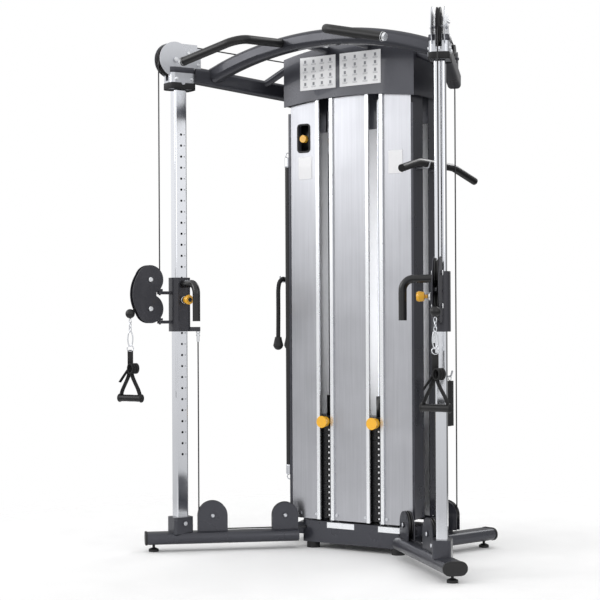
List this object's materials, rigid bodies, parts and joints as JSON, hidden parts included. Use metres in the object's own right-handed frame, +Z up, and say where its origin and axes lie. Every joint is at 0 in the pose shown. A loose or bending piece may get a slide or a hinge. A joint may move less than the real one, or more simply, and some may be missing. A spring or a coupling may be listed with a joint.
{
  "type": "functional trainer",
  "caption": "Free-standing dual-column cable trainer with sliding pulley carriages, selectorised weight stacks, overhead pull-up arch and stored accessories.",
  "frame": {"origin": "centre of the footprint box on the floor", "axes": "+Z up, +X to the right seen from the user's side, the user stands at -Y and the weight tower is at +Y"},
  "size_m": [1.6734, 1.1548, 2.3179],
  "materials": {
    "frame_paint": "charcoal metallic powder coat",
    "rubber_black": "matt black rubber",
    "chrome": "polished chrome plate",
    "satin_steel": "satin bright steel",
    "grip_black": "textured black grip sleeve",
    "panel_aluminium": "brushed anodised aluminium",
    "plate_steel": "satin black enamel",
    "placard": "plain printed sheet, no lettering",
    "bar_black": "satin black coat",
    "rope": "braided black nylon rope",
    "cable": "black nylon-coated steel cable",
    "pulley_nylon": "black moulded nylon",
    "knob_yellow": "yellow moulded plastic",
    "carriage_paint": "dark grey powder coat",
    "strap": "black webbing and grip"
  },
  "bodies": {
    "frame": {"front_beam": "frame_paint", "front_legs": "frame_paint", "tower_frame": "frame_paint", "leg_caps": "rubber_black", "levelling_feet": "rubber_black", "columns": "chrome", "top_brackets": "satin_steel", "arch_beam": "frame_paint", "top_arms": "frame_paint", "pull_up_bars": "grip_black", "header": "frame_paint", "front_panels": "panel_aluminium", "slot_trims": "satin_steel", "side_covers": "frame_paint", "rear_cover": "frame_paint", "guide_rods": "chrome", "weight_plates": "plate_steel", "stack_bumpers": "rubber_black", "placards": "placard", "floor_pulley_brackets": "frame_paint", "fasteners": "satin_steel", "accessory_hooks": "satin_steel", "straight_bar": "bar_black", "curl_bar": "bar_black", "triceps_rope": "rope", "rope_balls": "rubber_black", "ankle_cuff": "rubber_black", "tower_cables": "cable", "tower_pulleys": "pulley_nylon"},
    "carriage_left": {"carriage_left": "carriage_paint", "grab_handle_left": "bar_black", "upper_cable_left": "cable", "lower_cable_left": "cable"},
    "plunger_left": {"plunger_left": "knob_yellow"},
    "arm_left": {"pulley_arm_left": "carriage_paint", "cable_end_left": "cable"},
    "arm_pulley_upper_left": {"arm_pulley_upper_left": "pulley_nylon"},
    "arm_pulley_lower_left": {"arm_pulley_lower_left": "pulley_nylon"},
    "stirrup_left": {"stirrup_left": "strap"},
    "top_pulley_left": {"top_pulley_left": "pulley_nylon"},
    "foot_pulley_left": {"foot_pulley_left": "pulley_nylon"},
    "stack_left": {"top_plate_left": "plate_steel", "lift_cable_left": "cable"},
    "selector_pin_left": {"selector_pin_left": "knob_yellow"},
    "carriage_right": {"carriage_right": "carriage_paint", "grab_handle_right": "bar_black", "upper_cable_right": "cable", "lower_cable_right": "cable"},
    "plunger_right": {"plunger_right": "knob_yellow"},
    "arm_right": {"pulley_arm_right": "carriage_paint", "cable_end_right": "cable"},
    "arm_pulley_upper_right": {"arm_pulley_upper_right": "pulley_nylon"},
    "arm_pulley_lower_right": {"arm_pulley_lower_right": "pulley_nylon"},
    "stirrup_right": {"stirrup_right": "strap"},
    "top_pulley_right": {"top_pulley_right": "pulley_nylon"},
    "foot_pulley_right": {"foot_pulley_right": "pulley_nylon"},
    "stack_right": {"top_plate_right": "plate_steel", "lift_cable_right": "cable"},
    "selector_pin_right": {"selector_pin_right": "knob_yellow"},
    "range_knob": {"range_knob": "knob_yellow"}
  },
  "joints": [
    {"name": "carriage_slide_left", "type": "slide", "parent": "frame", "child": "carriage_left", "axis": [0, 0, 1], "range_m": [-0.5, 0.7], "deforming": ["upper_cable_left", "lower_cable_left"]},
    {"name": "plunger_pull_left", "type": "slide", "parent": "carriage_left", "child": "plunger_left", "axis": [0.9205, -0.3907, 0], "range_m": [-0.012, 0]},
    {"name": "arm_swivel_left", "type": "hinge", "parent": "carriage_left", "child": "arm_left", "pos_m": [-0.71346, -0.41927, 1.1], "axis": [0, 0, 1], "range_deg": [-75, 75]},
    {"name": "arm_pulley_upper_spin_left", "type": "hinge", "parent": "arm_left", "child": "arm_pulley_upper_left", "pos_m": [-0.73456, -0.46898, 1.231], "axis": [0.9205, -0.3907, 0], "continuous": true},
    {"name": "arm_pulley_lower_spin_left", "type": "hinge", "parent": "arm_left", "child": "arm_pulley_lower_left", "pos_m": [-0.73456, -0.46898, 1.1], "axis": [0.9205, -0.3907, 0], "continuous": true},
    {"name": "stirrup_swing_left", "type": "hinge", "parent": "arm_left", "child": "stirrup_left", "pos_m": [-0.77168, -0.55643, 1.078], "axis": [1, 0, 0], "range_deg": [-60, 20]},
    {"name": "top_pulley_spin_left", "type": "hinge", "parent": "frame", "child": "top_pulley_left", "pos_m": [-0.68494, -0.35207, 2.228], "axis": [0.9205, -0.3907, 0], "continuous": true},
    {"name": "foot_pulley_spin_left", "type": "hinge", "parent": "frame", "child": "foot_pulley_left", "pos_m": [-0.56722, -0.22673, 0.157], "axis": [0.682, -0.7314, 0], "continuous": true},
    {"name": "stack_lift_left", "type": "slide", "parent": "frame", "child": "stack_left", "axis": [0, 0, 1], "range_m": [0, 1.2], "deforming": ["lift_cable_left"]},
    {"name": "selector_pin_pull_left", "type": "slide", "parent": "stack_left", "child": "selector_pin_left", "axis": [0, -1, 0], "range_m": [0, 0.045]},
    {"name": "carriage_slide_right", "type": "slide", "parent": "frame", "child": "carriage_right", "axis": [0, 0, 1], "range_m": [-0.5, 0.7], "deforming": ["upper_cable_right", "lower_cable_right"]},
    {"name": "plunger_pull_right", "type": "slide", "parent": "carriage_right", "child": "plunger_right", "axis": [-0.9205, -0.3907, 0], "range_m": [-0.012, 0]},
    {"name": "arm_swivel_right", "type": "hinge", "parent": "carriage_right", "child": "arm_right", "pos_m": [0.71346, -0.41927, 1.1], "axis": [0, 0, 1], "range_deg": [-75, 75]},
    {"name": "arm_pulley_upper_spin_right", "type": "hinge", "parent": "arm_right", "child": "arm_pulley_upper_right", "pos_m": [0.73456, -0.46898, 1.231], "axis": [0.9205, 0.3907, 0], "continuous": true},
    {"name": "arm_pulley_lower_spin_right", "type": "hinge", "parent": "arm_right", "child": "arm_pulley_lower_right", "pos_m": [0.73456, -0.46898, 1.1], "axis": [0.9205, 0.3907, 0], "continuous": true},
    {"name": "stirrup_swing_right", "type": "hinge", "parent": "arm_right", "child": "stirrup_right", "pos_m": [0.77168, -0.55643, 1.078], "axis": [1, 0, 0], "range_deg": [-60, 20]},
    {"name": "top_pulley_spin_right", "type": "hinge", "parent": "frame", "child": "top_pulley_right", "pos_m": [0.68494, -0.35207, 2.228], "axis": [0.9205, 0.3907, 0], "continuous": true},
    {"name": "foot_pulley_spin_right", "type": "hinge", "parent": "frame", "child": "foot_pulley_right", "pos_m": [0.56722, -0.22673, 0.157], "axis": [0.682, 0.7314, 0], "continuous": true},
    {"name": "stack_lift_right", "type": "slide", "parent": "frame", "child": "stack_right", "axis": [0, 0, 1], "range_m": [0, 1.2], "deforming": ["lift_cable_right"]},
    {"name": "selector_pin_pull_right", "type": "slide", "parent": "stack_right", "child": "selector_pin_right", "axis": [0, -1, 0], "range_m": [0, 0.045]},
    {"name": "range_knob_pull", "type": "slide", "parent": "frame", "child": "range_knob", "axis": [0, -1, 0], "range_m": [0, 0.012]}
  ],
  "couplings": [
    {"joint": "top_pulley_spin_left", "follows": "carriage_slide_left", "rad_per_m": -13.699},
    {"joint": "foot_pulley_spin_left", "follows": "carriage_slide_left", "rad_per_m": -16.129},
    {"joint": "top_pulley_spin_right", "follows": "carriage_slide_right", "rad_per_m": -13.699},
    {"joint": "foot_pulley_spin_right", "follows": "carriage_slide_right", "rad_per_m": -16.129}
  ]
}
